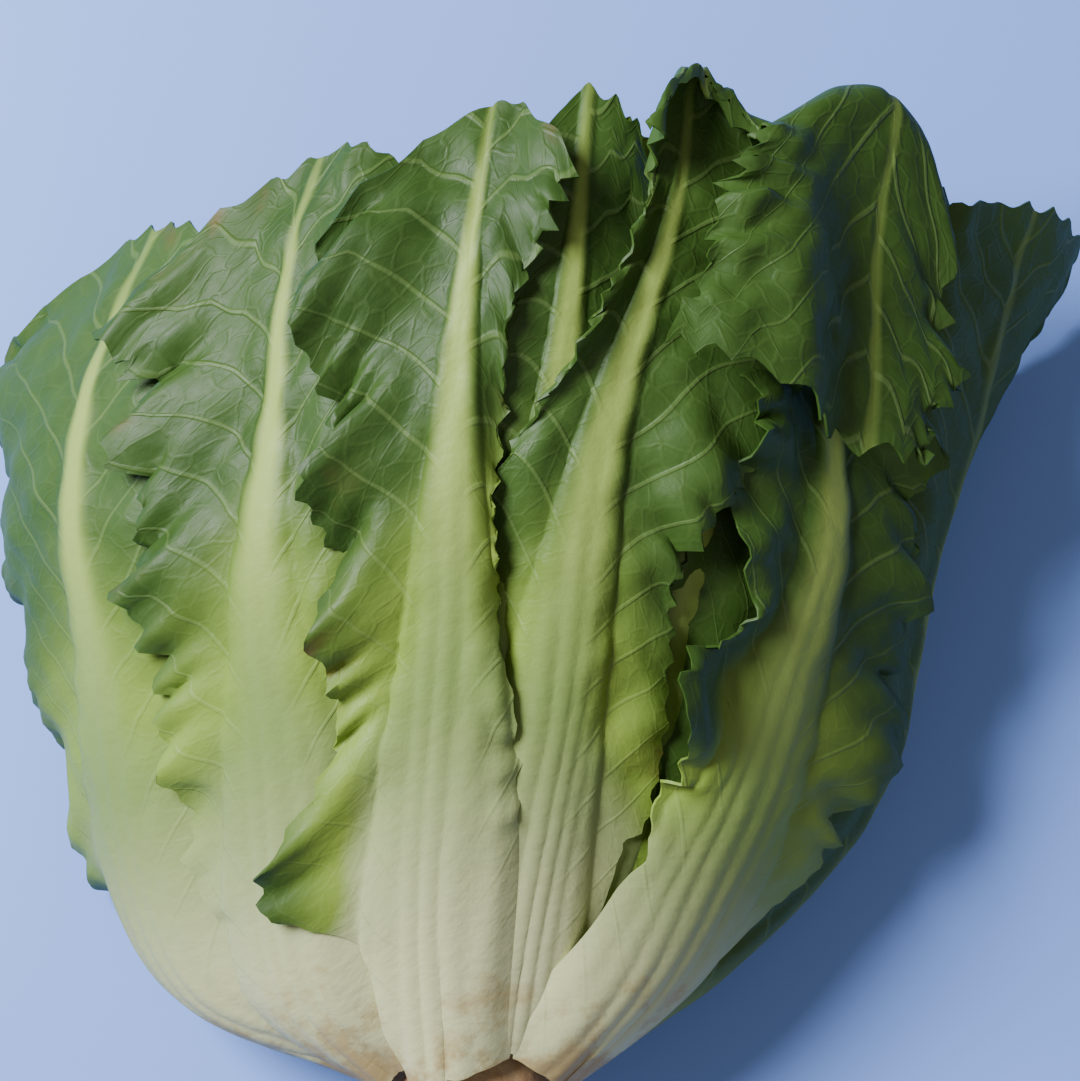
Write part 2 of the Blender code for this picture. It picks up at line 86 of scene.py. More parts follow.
# What all leaves share. The lists run from the cut end to the tip.
leafForm = {
    "widthShares": [0.0, 0.0, 0.12, 0.44, 0.76, 0.97, 1.0, 0.74],
    "ribShares": [1.0, 1.0, 0.88, 0.66, 0.42, 0.24, 0.13, 0.08],
    "ribThickness": [0.0042, 0.0040, 0.0034, 0.0027, 0.0019, 0.0013, 0.0010, 0.0008],
    "ribDepth": [0.0050, 0.0050, 0.0046, 0.0038, 0.0028, 0.0018, 0.0010, 0.0006],  # the ribs' round backs
    "backWidth": 1.25,  # in rib widths
    "backPower": 2.4,
    "bladeThickness": 0.0007,
    "outerShare": 0.7,  # of the thickness, outside the surface that the leaf is drawn on
    "smoothBelow": 70,  # degrees
    "seeds": (0.11, 3.7),
    "edgeSamples": 31,
    "stalkRows": 5,  # one row in this many lies below the blade
    # outline
    "bladeStart": 0.22,
    "bladeRun": 0.25,
    "turnedBy": 0.7,
    "swayStart": 0.6,
    "tipRoundness": 0.11,
    "tipPower": 2.5,
    "lobes": 0.32,
    "lobeLength": 0.055,
    "lobeSeeds": (0.37, 5),
    "liftStart": 0.35,  # share of the width where a lobe begins to stand out
    "narrowest": 0.004,  # beside the rib
    "riseStart": 0.45,
    # feet and overlaps
    "baseStart": 0.08,
    "baseEnd": 0.52,  # where the feet of the leaves no longer meet
    "baseFade": 0.25,
    "baseOverlap": 0.4,
    "overlap": 0.009,  # how far a leaf reaches past halfway to its neighbours on its shell
    "gap": 0.0008,
    "tuckRun": 0.016,
    "tuckUnder": 0.0042,
    "tuckOver": 0.0012,
    "downhillEnd": 160,  # degrees from the top, past which no side of a leaf faces down
    "freeEdge": 0.018,
    "looseUnder": 0.25,  # share of the crinkles that a covered leaf keeps
    # ruffles and the bend of free tips
    "fullSide": 0.036,  # a side this wide or wider has ruffles and bends of the full height
    "ruffleHeight": 0.0085,
    "ruffleLength": 0.047,
    "ruffleSidePhase": 1.3,
    "ruffleRun": 0.2,
    "calmMiddle": 0.25,
    "calmBelow": 1.5,
    "foldBack": 0.016,
    "foldStart": 0.72,
    "foldRun": 0.36,
    "foldAtRib": 0.4,
    # tips that fold over
    "flapRows": 0.4,  # share of the usual rows
    "flapBend": 0.010,
    "shortFlapBend": 5,  # a short flap's length is this many times its bend's radius
    "leastFlap": 0.001,
    "flapDroop": 0.06,
    "flapCalm": 0.75,
    "flapLean": 0.02,  # share by which a flap is longer at its left margin
    "flapRound": 0.26,  # share by which both margins are shorter than its rib
    "flapSpread": (1.06, -0.30),  # how much wider it ends, to its left and right
    "fullFlap": 0.100,  # a flap this long or longer spreads in full
    "flapWave": 0.0035,
    "flapWaveLength": 0.034,
    # teeth
    "toothLength": 0.0085,
    "toothDepth": 0.0040,
    "toothPoint": (1.5, 0.4),  # power of its sides, and how much of it lies under the margin
    "toothDrift": (0.9, 0.022),
    "toothSizes": (0.75, 0.9, 0.017),
    "toothSeeds": (0.5, 3.5, 8.5),
    "toothEdge": 7,  # the higher, the closer the teeth keep to the margin
    "deepestTooth": 0.4,  # share of a side's width
    "scallopLength": 0.030,
    "scallopDepth": 0.0060,
    "teethRun": 0.12,
    "tipTeethStart": 0.8,
    "tipTeethRun": 0.2,
    "tipSeed": 7,
    "tipEdge": 0.97,
    "brownTooth": 0.002,
    "brownFlap": 0.05,  # leaves with flaps this long have no brown teeth
    # crinkles
    "crinkleLength": 0.021,
    "crinkleHeight": 0.0028,
    "fineCrinkleLength": 0.0095,
    "fineCrinkleHeight": 0.0010,
    "fineCrinkleSlant": 3,
    "crinkleStart": 0.45,
    "crinkleRun": 0.15,
    "wanderLengths": (0.035, 0.05),
    "wanderSeed": 11,
    "wander": (1.5, 1.6),  # of the crinkles and of the fine ones
    # side veins and the blade between them
    "veinSpacing": 0.019,
    "veinSlope": 1.45,
    "veinCurve": 5.0,
    "veinHeight": 0.0006,
    "veinSharpness": 6,
    "veinWarp": (0.30, 0.030),
    "veinStagger": 0.5,
    "quiltHeight": 0.0013,  # the blade's rise between its side veins
    "puffLength": 0.013,
    "puffHeight": 0.0020,
    "puffSeed": 5,
    # lengthwise ridges of the white stalks
    "ridgeSpacing": 0.0064,
    "ridgeHeight": 0.0003,
    "ridgeDrift": (0.9, 0.09, 0.016),
    "ridgeEnd": 0.75,
    "ridgeFade": 0.4,
    # where the leaf is green
    "greenStart": 0.32,
    "greenRun": 0.50,
    "greenAside": 4.5,  # how much sooner a leaf is green for each metre away from its rib
    "greenLobes": 24,  # and for each metre that a lobe stands out
    "toneSeed": 7.31,
}
plainLeaf = {
    "turn": 0, "sway": 0, "late": (0, 0), "flap": 0, "fresh": 0, "rise": 0, "cover": (1, 1), "lobes": []
}


def leafOf(angle, shell, length, left, right, stalk, **more):
    given = dict(angle=angle, shell=shell, length=length, left=left, right=right, stalk=stalk)
    return SimpleNamespace(**{**plainLeaf, **given, **more})


# Angle, turn and sway in degrees, sizes in metres; left is towards larger angles, and left and right
# are the blade's widths beside its rib. stalk is half the rib's width at its foot, late is how much
# later than usual a side's blade starts, and flap is the length of a tip that folds over outwards.
# fresh makes a blade green further down, rise is how far a leaf stands out from its shell at its tip,
# and cover is how much of the way to its neighbours its foot is wide, to its left and right. A lobe
# is a stretch of margin that reaches further and stands out, on the left where side is 1. Its place
# and run are shares of the leaf's length.
leafPieces = {
    "leaf_centre_left": leafOf(
        107, 0, 0.262, 0.056, 0.034, 0.019, turn=-1, cover=(0, 0),
        lobes=[
            dict(side=1, at=0.30, run=0.080, reach=0.019, lift=0.0125),
            dict(side=-1, at=0.70, run=0.34, reach=-0.034, lift=-0.004),
        ],
    ),
    "leaf_right_folded": leafOf(
        29, 0, 0.284, 0.060, 0.054, 0.019, turn=-2, sway=6,
        late=(0.34, -0.15), flap=0.115, fresh=0.12, cover=(0, 0),
        lobes=[
            dict(side=1, at=0.47, run=0.055, reach=0.024, lift=0.013),
            dict(side=1, at=0.89, run=0.25, reach=-0.031, lift=0),
            dict(side=-1, at=0.95, run=0.25, reach=-0.014, lift=0),
        ],
    ),
    "leaf_right_edge": leafOf(
        -14, 0, 0.293, 0.056, 0.048, 0.012, turn=14, sway=7, late=(-0.2, 0), fresh=0.5, cover=(0, 0)
    ),
    "leaf_left_upper": leafOf(147, 0, 0.276, 0.046, 0.048, 0.019, turn=-5),
    "leaf_left_edge": leafOf(
        175, 0, 0.270, 0.048, 0.052, 0.019, turn=-9, cover=(0, 1),
        lobes=[
            dict(side=1, at=0.19, run=0.055, reach=0.012, lift=0.011),
            dict(side=1, at=0.34, run=0.070, reach=0.012, lift=0.012),
        ],
    ),
    "leaf_left_under": leafOf(225, 0, 0.264, 0.052, 0.050, 0.019, turn=-20, late=(0, -0.15)),
    "leaf_under": leafOf(264, 0, 0.266, 0.050, 0.048, 0.019, turn=-6),
    "leaf_right_under": leafOf(309, 0, 0.268, 0.046, 0.046, 0.0185, turn=5, fresh=0.4),
    "leaf_centre_right": leafOf(
        79, 1, 0.271, 0.040, 0.042, 0.017, turn=-4, sway=-12,
        flap=0.020, fresh=0.08, rise=0.014,
        lobes=[
            dict(side=1, at=0.88, run=0.24, reach=-0.034, lift=0),
            dict(side=-1, at=0.60, run=0.14, reach=-0.016, lift=0),
        ],
    ),
    "leaf_left_middle": leafOf(128, 1, 0.270, 0.046, 0.046, 0.018),
    "leaf_left_side": leafOf(168, 1, 0.274, 0.048, 0.048, 0.018, turn=-8),
    "leaf_left_low": leafOf(208, 1, 0.266, 0.050, 0.050, 0.018, turn=-18),
    "leaf_left_lining": leafOf(248, 1, 0.258, 0.048, 0.048, 0.018, turn=-14),
    "leaf_under_lining": leafOf(291, 1, 0.262, 0.050, 0.050, 0.018),
    "leaf_right_low": leafOf(336, 1, 0.270, 0.050, 0.050, 0.018, turn=5, fresh=0.4),
    "leaf_right_side": leafOf(17, 1, 0.294, 0.052, 0.050, 0.018, fresh=0.3),
    "leaf_right_narrow": leafOf(45, 2, 0.262, 0.032, 0.040, 0.015, fresh=0.15),
    "leaf_top_middle": leafOf(90, 2, 0.271, 0.003, 0.046, 0.016, turn=-5, rise=0.015),
    "leaf_top_left": leafOf(148, 2, 0.276, 0.050, 0.050, 0.017),
    "leaf_back_left": leafOf(207, 2, 0.260, 0.050, 0.050, 0.016, turn=-8),
    "leaf_back": leafOf(267, 2, 0.256, 0.050, 0.050, 0.016),
    "leaf_back_right": leafOf(322, 2, 0.264, 0.050, 0.050, 0.016, turn=3),
    "inner_leaf_1": leafOf(76, 3, 0.274, 0.044, 0.044, 0.0135),
    "inner_leaf_2": leafOf(140, 3, 0.266, 0.044, 0.044, 0.0135),
    "inner_leaf_3": leafOf(218, 3, 0.252, 0.046, 0.046, 0.0135),
    "inner_leaf_4": leafOf(292, 3, 0.250, 0.046, 0.046, 0.0135),
    "inner_leaf_5": leafOf(8, 3, 0.266, 0.046, 0.046, 0.0135),
    "inner_leaf_6": leafOf(42, 4, 0.252, 0.040, 0.040, 0.0115),
    "inner_leaf_7": leafOf(108, 4, 0.256, 0.040, 0.040, 0.0115),
    "inner_leaf_8": leafOf(186, 4, 0.246, 0.042, 0.042, 0.0115),
    "inner_leaf_9": leafOf(274, 4, 0.236, 0.042, 0.042, 0.0115),
    "inner_leaf_10": leafOf(345, 4, 0.244, 0.042, 0.042, 0.0115),
}
leaves = list(leafPieces.values())

# Cells across and along each kind of leaf; those past the angle lie underneath
leafGrids = {"seen": (64, 132), "under": (40, 84), "inner": (36, 72), "heart": (24, 50)}
underFrom = 200

heartForm = {
    "start": 0.62,
    "end": 0.93,
    "leaves": 7,
    "length": 0.238,
    "lengthStep": 0.012,
    "halfWidth": 0.034,
    "stalk": 0.011,
    "taper": 0.5,
    "goldenAngle": 137.5,
    "rootCover": 0.0025,
    "rootSides": 40,
}


def ease(value):
    value = np.clip(value, 0, 1)
    return value * value * (3 - 2 * value)


def curveAt(points, share):  # a smooth curve through evenly spaced points, straight past its ends
    points = np.asarray(points, float)
    share = np.asarray(share, float)
    last = len(points) - 1
    place = np.clip(share, 0, 1) * last
    low = np.clip(place.astype(int), 0, last - 1)
    t = place - low
    padded = np.concatenate([[2 * points[0] - points[1]], points, [2 * points[-1] - points[-2]]])
    before, start, end, after = (padded[low + k] for k in range(4))
    beyond = (share - np.clip(share, 0, 1)) * last
    if points.ndim == 2:
        t = t[..., None]
        beyond = beyond[..., None]
    value = 0.5 * (
        2 * start
        + (end - before) * t
        + (2 * before - 5 * start + 4 * end - after) * t**2
        + (3 * start - before - 3 * end + after) * t**3
    )
    slope = np.where(beyond > 0, points[-1] - points[-2], points[1] - points[0])
    return value + beyond * slope


def softNoise(x, y, z):
    x, y, z = np.broadcast_arrays(x, y, z)
    places = zip(x.ravel().tolist(), y.ravel().tolist(), z.ravel().tolist())
    return np.array([noise.noise(place) for place in places]).reshape(x.shape)


def shellPoint(angle, share, depth):  # before the waves, with the axis straight along Y
    cosine, sine = np.cos(angle), np.sin(angle)
    inner = curveAt(headForm["middle"], share)
    right, left = curveAt(headForm["rightSide"], share), curveAt(headForm["leftSide"], share)
    top, under = curveAt(headForm["topSide"], share), curveAt(headForm["underSide"], share)
    side = np.where((cosine >= 0)[..., None], right, left)
    lift = np.where((sine >= 0)[..., None], top, under)
    side = side + (inner - side) * depth[..., None]
    lift = lift + (inner - lift) * depth[..., None]
    power = 2 - (2 - headForm["roundness"]) * ease(share / headForm["shouldersFull"]) * (sine >= 0)
    reach = np.abs(cosine / side[..., 0]) ** power + np.abs(sine / lift[..., 0]) ** power
    radius = reach ** (-1 / power)
    along = cosine**2 * side[..., 1] + sine**2 * lift[..., 1]
    return np.stack([radius * cosine, along, radius * sine], axis=-1)


def layDown(points):  # leans the axis, lifts it over the surface and lets the sides sag
    x, along, z = points[..., 0], points[..., 1], points[..., 2]
    x = x + headForm["axisLean"] * along
    rise = ease(along / headForm["bellyStart"])
    low, high = headForm["axisHeightAtCut"], headForm["axisHeightAtBelly"]
    z = z + low + (high - low) * rise - headForm["sideSag"] * (x / headForm["widest"]) ** 2
    return np.stack([x, along, z], axis=-1)


def roomOf(angle, share):  # distance from the outside of the head to its middle
    outside = shellPoint(angle, share, np.zeros_like(share))
    middle = shellPoint(angle, share, np.ones_like(share))
    return np.linalg.norm(outside - middle, axis=-1)


def headPoint(angle, share, depth):
    outside = shellPoint(angle, share, np.zeros_like(depth))
    growth = ease((share - headForm["wavesStart"]) / (headForm["wavesFull"] - headForm["wavesStart"]))
    growth = growth * (1 - headForm["calmUnderside"] * ease(-np.sin(angle)))
    x, y, z = np.moveaxis(outside / headForm["waveLength"], -1, 0)
    wave = softNoise(x, y + depth * headForm["waveDrift"], z + headForm["waveSeed"])
    waved = depth + wave * 2 * headForm["waveHeight"] * growth / roomOf(angle, share)
    return layDown(shellPoint(angle, share, waved)) + headShift


def stemShift():  # from the head's own place to the frame's, read from the cut stem's box
    low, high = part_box("cut_stem")
    rim = headForm["rightSide"][0][1]
    height = layDown(np.array([0.0, rim, 0.0]))[2]
    side = (low.x + high.x) / 2 - headForm["axisLean"] * rim
    return np.array([side, low.y, (low.z + high.z) / 2 - height])


headShift = stemShift()


def girth(start, share, depth):  # angles round a shell, and how far each is from the start angle
    turn = np.radians(np.arange(-180, 181, headForm["girthStep"])) + start
    flat = np.full(turn.shape, 1.0)
    places = shellPoint(turn, flat * share, flat * depth)
    step = np.linalg.norm(np.diff(places, axis=0), axis=1)
    length = np.concatenate([[0], np.cumsum(step)])
    return turn, length - np.interp(start, turn, length)


def girthAt(leaf, v):  # the same for a leaf's shell, from its rib
    share = v * leaf.length / headForm["length"]
    return girth(ribAngle(leaf, v), share, leaf.shell * headForm["shellStep"])


def onBlade(v, run):
    return ease((v - leafForm["bladeStart"]) / run)


def ribAngle(leaf, v):
    turned = leaf.turn * float(ease(v / leafForm["turnedBy"]))
    swayed = leaf.sway * float(ease((v - leafForm["swayStart"]) / (1 - leafForm["swayStart"])))
    return math.radians(leaf.angle + turned + swayed)


def neighbourAngles(leaf, v):
    own = ribAngle(leaf, v)
    others = [other for other in leaves if other.shell == leaf.shell and other is not leaf]
    turns = [(ribAngle(other, v) - own) % (2 * math.pi) for other in others] or [math.pi]
    return min(turns), max(turns) - 2 * math.pi


def lobeAt(lobe, v):
    return math.exp(-(((v - lobe["at"]) / lobe["run"]) ** 2))


def halfWidths(leaf, v):  # to the left and right of the rib, and half the way to each neighbour
    form = leafForm
    middle = ribAngle(leaf, v)
    turns, distance = girthAt(leaf, v)
    foot = float(ease(v / form["baseStart"]))
    past = form["overlap"] * max(float(onBlade(v, form["teethRun"])), form["baseOverlap"] * foot)
    rib = leaf.stalk * float(curveAt(form["ribShares"], v))
    widths, rooms = [], []
    sides = zip((1, -1), (leaf.left, leaf.right), leaf.late, leaf.cover, neighbourAngles(leaf, v))
    for side, blade, late, cover, gap in sides:
        seed = leaf.angle * form["lobeSeeds"][0] + side * form["lobeSeeds"][1]
        lobe = noise.noise(Vector((v * leaf.length / form["lobeLength"], seed, leaf.shell)))
        share = float(curveAt(form["widthShares"], max((v - late) / (1 - late), 0)))
        wanted = max(blade * (share * (1 + form["lobes"] * lobe)), 0) + rib
        room = abs(float(np.interp(middle + gap / 2, turns, distance)))
        covered = float(ease(v / form["baseStart"]) * ease((form["baseEnd"] - v) / form["baseFade"]))
        wanted = max(wanted, cover * room * covered)
        width = min(wanted + past, room + past - form["gap"])
        for extra in leaf.lobes:
            if extra["side"] == side:
                width = max(width + extra["reach"] * lobeAt(extra, v), min(rib + form["narrowest"], width))
        widths.append(width)
        rooms.append(room)
    return widths, rooms


def marginAngles(leaf):
    rows = []
    for v in np.linspace(0, 1, leafForm["edgeSamples"]):
        left, right = halfWidths(leaf, v)[0]
        turns, distance = girthAt(leaf, v)
        rows.append(np.interp([left, -right], distance, turns))
    return np.array(rows)


def freedomOf(leaf, angles, share, covers):  # 1 where no leaf further out covers this one
    free = np.ones(angles.shape)
    place = shellPoint(angles, share, np.full(angles.shape, leaf.shell * headForm["shellStep"]))
    radius = np.hypot(place[..., 0], place[..., 2])
    for other, edges in covers:
        if other.shell >= leaf.shell:
            continue
        v = share * headForm["length"] / other.length
        steps = np.linspace(0, 1, len(edges))
        high = np.interp(v, steps, edges[:, 0])
        low = np.interp(v, steps, edges[:, 1])
        centre = (high + low) / 2
        away = np.abs((angles - centre + math.pi) % (2 * math.pi) - math.pi) - (high - low) / 2
        beyond = np.maximum(away * radius, (v - 1) * other.length)
        free *= ease(beyond / leafForm["freeEdge"])
    return free


def toothAt(place, seed):  # pointed teeth on broad scallops
    form = leafForm
    first, second, third = form["toothSeeds"]
    drift, driftLength = form["toothDrift"]
    power, low = form["toothPoint"]
    usual, spread, sizeLength = form["toothSizes"]
    phase = place / form["toothLength"] + drift * softNoise(place / driftLength, seed, first)
    point = (1 - np.abs(2 * (phase % 1) - 1)) ** power - low
    size = usual + spread * softNoise(place / sizeLength, seed, second)
    scallop = softNoise(place / form["scallopLength"], seed, third)
    return form["toothDepth"] * point * size + form["scallopDepth"] * scallop


def rowsAlong(leaf, rows):  # 0 at the root and 1 at the tip, or at the fold of a leaf with a flap
    stalkRows = rows // leafForm["stalkRows"]
    stalk = np.linspace(0, leafForm["bladeStart"], stalkRows + 1)[:-1]
    blade = np.linspace(leafForm["bladeStart"], 1, rows + 1 - stalkRows)
    if not leaf.flap:
        return np.concatenate([stalk, blade])
    flapRows = int(rows * leafForm["flapRows"])
    return np.concatenate([stalk, blade, np.linspace(1, 1 + leaf.flap / leaf.length, flapRows + 1)[1:]])


def tuckOf(leaf, distance, room):  # the margin that faces up goes under its neighbour's
    downhill = (leaf.angle - 90 + 180) % 360 - 180
    over = (np.sign(distance) * downhill > 0) & (abs(downhill) < leafForm["downhillEnd"])
    past = leafForm["overlap"] + leafForm["tuckRun"] / 2
    zone = ease((np.abs(distance) - (room - past)) / leafForm["tuckRun"])
    return zone * np.where(over, leafForm["tuckOver"], -leafForm["tuckUnder"]), zone * ~over


def foldedOver(over, bend):  # how far along and outwards a place is that lies this far past the fold
    turned = np.minimum(over / bend, math.pi)
    hanging = np.maximum(over - math.pi * bend, 0)
    return bend * np.sin(turned) - hanging, bend * (1 - np.cos(turned)) - leafForm["flapDroop"] * hanging


def layRow(leaf, step, teeth, across, seed):  # one row of a leaf's places, from its right to its left
    form = leafForm
    v = min(step, 1)
    widths, halfway = halfWidths(leaf, v)
    side = np.where(across > 0, *widths)
    tooth = np.where(across > 0, *teeth) * onBlade(v, form["teethRun"])
    tooth = np.maximum(tooth, -form["deepestTooth"] * np.maximum(side, 0))
    edgeTooth = tooth * np.abs(across) ** form["toothEdge"]
    past = leaf.length * (step - v)
    flap = max(leaf.flap, form["leastFlap"])
    hung = float(ease(past / flap)) * min(leaf.flap / form["fullFlap"], 1)
    taper = 1 + hung * np.where(across > 0, *form["flapSpread"])
    distance = taper * across * side + np.sign(across) * edgeTooth
    toTip = step / (1 + leaf.flap / leaf.length)
    tipGrowth = ease((toTip - form["tipTeethStart"]) / form["tipTeethRun"])
    tipTooth = toothAt(distance, seed + form["tipSeed"]) * tipGrowth
    bend = min(form["flapBend"], leaf.flap / form["shortFlapBend"] + form["leastFlap"])
    over = past * (1 + form["flapLean"] * across - form["flapRound"] * across**2)
    along, out = foldedOver(over, bend)
    reach = leaf.length * (v - form["tipRoundness"] * v ** form["tipPower"] * across**2)
    reach = reach + along + tipTooth * np.where(over > math.pi * bend, -1, 1)
    lift = np.zeros(across.shape)
    for lobe in leaf.lobes:
        onSide = np.clip(across * lobe["side"], 0, 1)
        lift += lobe["lift"] * lobeAt(lobe, v) * ease((onSide - form["liftStart"]) / (1 - form["liftStart"]))
    fresh = leaf.fresh + form["greenLobes"] * lift
    wave = np.sin(2 * math.pi * distance / form["flapWaveLength"] + seed)
    lift += form["flapWave"] * ease(over / flap) * wave
    turns, lengths = girthAt(leaf, v)
    return SimpleNamespace(
        angle=np.interp(distance, lengths, turns),
        share=reach / headForm["length"],
        distance=distance,
        room=np.where(across > 0, *halfway),
        ribWidth=np.full(across.shape, leaf.stalk * float(curveAt(form["ribShares"], v))),
        tooth=np.maximum(edgeTooth, tipTooth * tipGrowth * (toTip > form["tipEdge"])),
        out=out + lift,
        fresh=fresh,
        side=side,
    )


def layGrid(leaf, columns, rows, seed):  # all rows of a leaf, and what the reliefs need of them
    across = np.linspace(-1, 1, columns + 1)
    steps = rowsAlong(leaf, rows)
    left, right = (toothAt(steps * leaf.length, seed + side) for side in (1, -1))
    laid = [layRow(leaf, step, teeth, across, seed) for step, *teeth in zip(steps, left, right)]
    grid = SimpleNamespace(**{key: np.array([vars(row)[key] for row in laid]) for key in vars(laid[0])})
    grid.across = across
    grid.step = np.repeat(steps[:, None], columns + 1, axis=1)
    grid.v = np.minimum(grid.step, 1)
    grid.place = grid.step * leaf.length
    grid.aside = np.abs(grid.distance)
    grid.ratio = grid.aside / grid.ribWidth
    grid.rib = np.exp(-(grid.ratio**2))
    grid.spread = ease(grid.side / leafForm["fullSide"])
    return grid


def looseWaves(leaf, grid):  # ruffled margins and the bend of a free tip, and how calm a flap is
    form = leafForm
    across = grid.across
    margin = ease((np.abs(across) - form["calmMiddle"]) / (1 - form["calmMiddle"]))
    phase = 2 * math.pi * grid.place / form["ruffleLength"] + np.sign(across) * form["ruffleSidePhase"]
    ruffle = form["ruffleHeight"] * (0.5 + 0.5 * np.sin(phase + leaf.angle)) * margin * grid.spread
    ruffle = ruffle * onBlade(grid.v, form["ruffleRun"])
    tip = ease((grid.v - form["foldStart"]) / form["foldRun"])
    bend = form["foldBack"] * tip * (form["foldAtRib"] + (1 - form["foldAtRib"]) * margin * grid.spread)
    return ruffle + bend, 1 - form["flapCalm"] * tip * (leaf.flap > 0)


def crinklesOf(grid, seed, loose):
    form = leafForm
    byPlace, byDistance = form["wanderLengths"]
    wander = softNoise(grid.place / byPlace, grid.distance / byDistance, seed + form["wanderSeed"])
    edge = ease((np.abs(grid.across) - form["crinkleStart"]) / (1 - form["crinkleStart"]))
    broadWander, fineWander = form["wander"]
    phase = 2 * math.pi * (grid.place / form["crinkleLength"] + broadWander * wander) + seed
    crinkle = form["crinkleHeight"] * np.sin(phase)
    phase = 2 * math.pi * (grid.place / form["fineCrinkleLength"] + fineWander * wander)
    phase = phase + grid.across * form["fineCrinkleSlant"]
    crinkle = crinkle + form["fineCrinkleHeight"] * np.sin(phase) * edge
    return crinkle * edge * grid.spread * onBlade(grid.v, form["crinkleRun"]) * loose


def veinsOf(grid, seed):  # where each place lies between two side veins; whole numbers are on them
    form = leafForm
    warp, warpLength = form["veinWarp"]
    warp = warp * softNoise(grid.distance / warpLength, grid.place / warpLength, seed)
    phase = grid.place - form["veinSlope"] * grid.aside - form["veinCurve"] * grid.aside**2
    return phase / form["veinSpacing"] + warp + form["veinStagger"] * (grid.distance > 0)


def bladeReliefs(grid, seed, loose):
    form = leafForm
    nearVein = np.abs((grid.veinPhase % 1) - 0.5) * 2  # 1 on a side vein, 0 halfway to the next
    blade = onBlade(grid.v, form["bladeRun"]) * (1 - grid.rib)
    vein = form["veinHeight"] * nearVein ** form["veinSharpness"] * blade
    quilt = form["quiltHeight"] * (1 - nearVein**2) * blade * loose
    x, y = grid.distance / form["puffLength"], grid.place / form["puffLength"]
    puff = form["puffHeight"] * softNoise(x, y, seed + form["puffSeed"])
    return [vein, quilt, puff * blade]


def stalkRidges(grid, seed):
    form = leafForm
    drift, byPlace, byDistance = form["ridgeDrift"]
    drift = drift * softNoise(grid.place / byPlace, grid.distance / byDistance, seed)
    ridges = np.cos(2 * math.pi * (grid.distance / form["ridgeSpacing"] + drift))
    return form["ridgeHeight"] * ridges * grid.rib * ease((form["ridgeEnd"] - grid.v) / form["ridgeFade"])


def leafSurface(leaf, columns, rows, covers):
    form = leafForm
    seed = leaf.angle * form["seeds"][0] + leaf.shell * form["seeds"][1]
    grid = layGrid(leaf, columns, rows, seed)
    grid.veinPhase = veinsOf(grid, seed)
    tuck, under = tuckOf(leaf, grid.distance, grid.room)
    free = freedomOf(leaf, grid.angle, grid.share, covers) * (1 - under)
    loose = form["looseUnder"] + (1 - form["looseUnder"]) * free
    upper = 1 - ease(-form["calmBelow"] * np.sin(grid.angle))
    waves, calm = looseWaves(leaf, grid)
    reliefs = [free * upper * calm * waves, crinklesOf(grid, seed, loose) * upper]
    reliefs += bladeReliefs(grid, seed, loose)
    reliefs += [stalkRidges(grid, seed), tuck]
    out = sum(reliefs) + leaf.rise * ease((grid.v - form["riseStart"]) / (1 - form["riseStart"]))
    hollow = np.sqrt(1 - np.minimum(grid.ratio / form["backWidth"], 1) ** form["backPower"]) - 1
    back = curveAt(form["ribDepth"], grid.v) * hollow
    depth = leaf.shell * headForm["shellStep"] - (out + grid.out + back) / roomOf(grid.angle, grid.share)
    points = headPoint(grid.angle, grid.share, depth)
    ribThickness = curveAt(form["ribThickness"], grid.v)
    thickness = form["bladeThickness"] + (ribThickness - form["bladeThickness"]) * grid.rib
    if leaf.shell == 0:  # the lowest leaves are pressed flat on the surface
        points[..., 2] = np.maximum(points[..., 2], form["outerShare"] * thickness)
    sooner = form["greenAside"] * np.maximum(grid.aside - grid.ribWidth, 0) + grid.fresh
    return SimpleNamespace(
        points=points,
        thickness=thickness,
        uv=np.stack([grid.distance, grid.place], axis=-1),
        marks={
            "ribWidth": grid.ribWidth,
            "veinPhase": grid.veinPhase,
            "along": grid.v + leaf.fresh / 2,
            "green": ease((grid.v - form["greenStart"] + sooner) / form["greenRun"]),
            "tooth": np.clip(grid.tooth / form["brownTooth"], 0, 1) * (leaf.flap < form["brownFlap"]),
            "tone": np.full(grid.v.shape, (seed * form["toneSeed"]) % 1),
        },
    )


def deselectAll():
    bpy.ops.object.select_all(action="DESELECT")


def nameNew(name):  # the object that an operator has just added
    piece = bpy.context.active_object
    piece.name = name
    piece.data.name = name
    return piece


def addWall(piece, thickness):  # gives the drawn surface its thickness at each place
    most = max(leafForm["ribThickness"])
    group = piece.vertex_groups.new(name="thickness")
    for index, weight in enumerate((thickness / most).tolist()):
        group.add([index], weight, "REPLACE")
    wall = piece.modifiers.new("wall", "SOLIDIFY")
    wall.thickness = most
    wall.offset = 2 * leafForm["outerShare"] - 1
    wall.vertex_group = group.name
    deselectAll()
    piece.select_set(True)
    bpy.context.view_layer.objects.active = piece
    bpy.ops.object.modifier_apply(modifier=wall.name)
    piece.vertex_groups.clear()


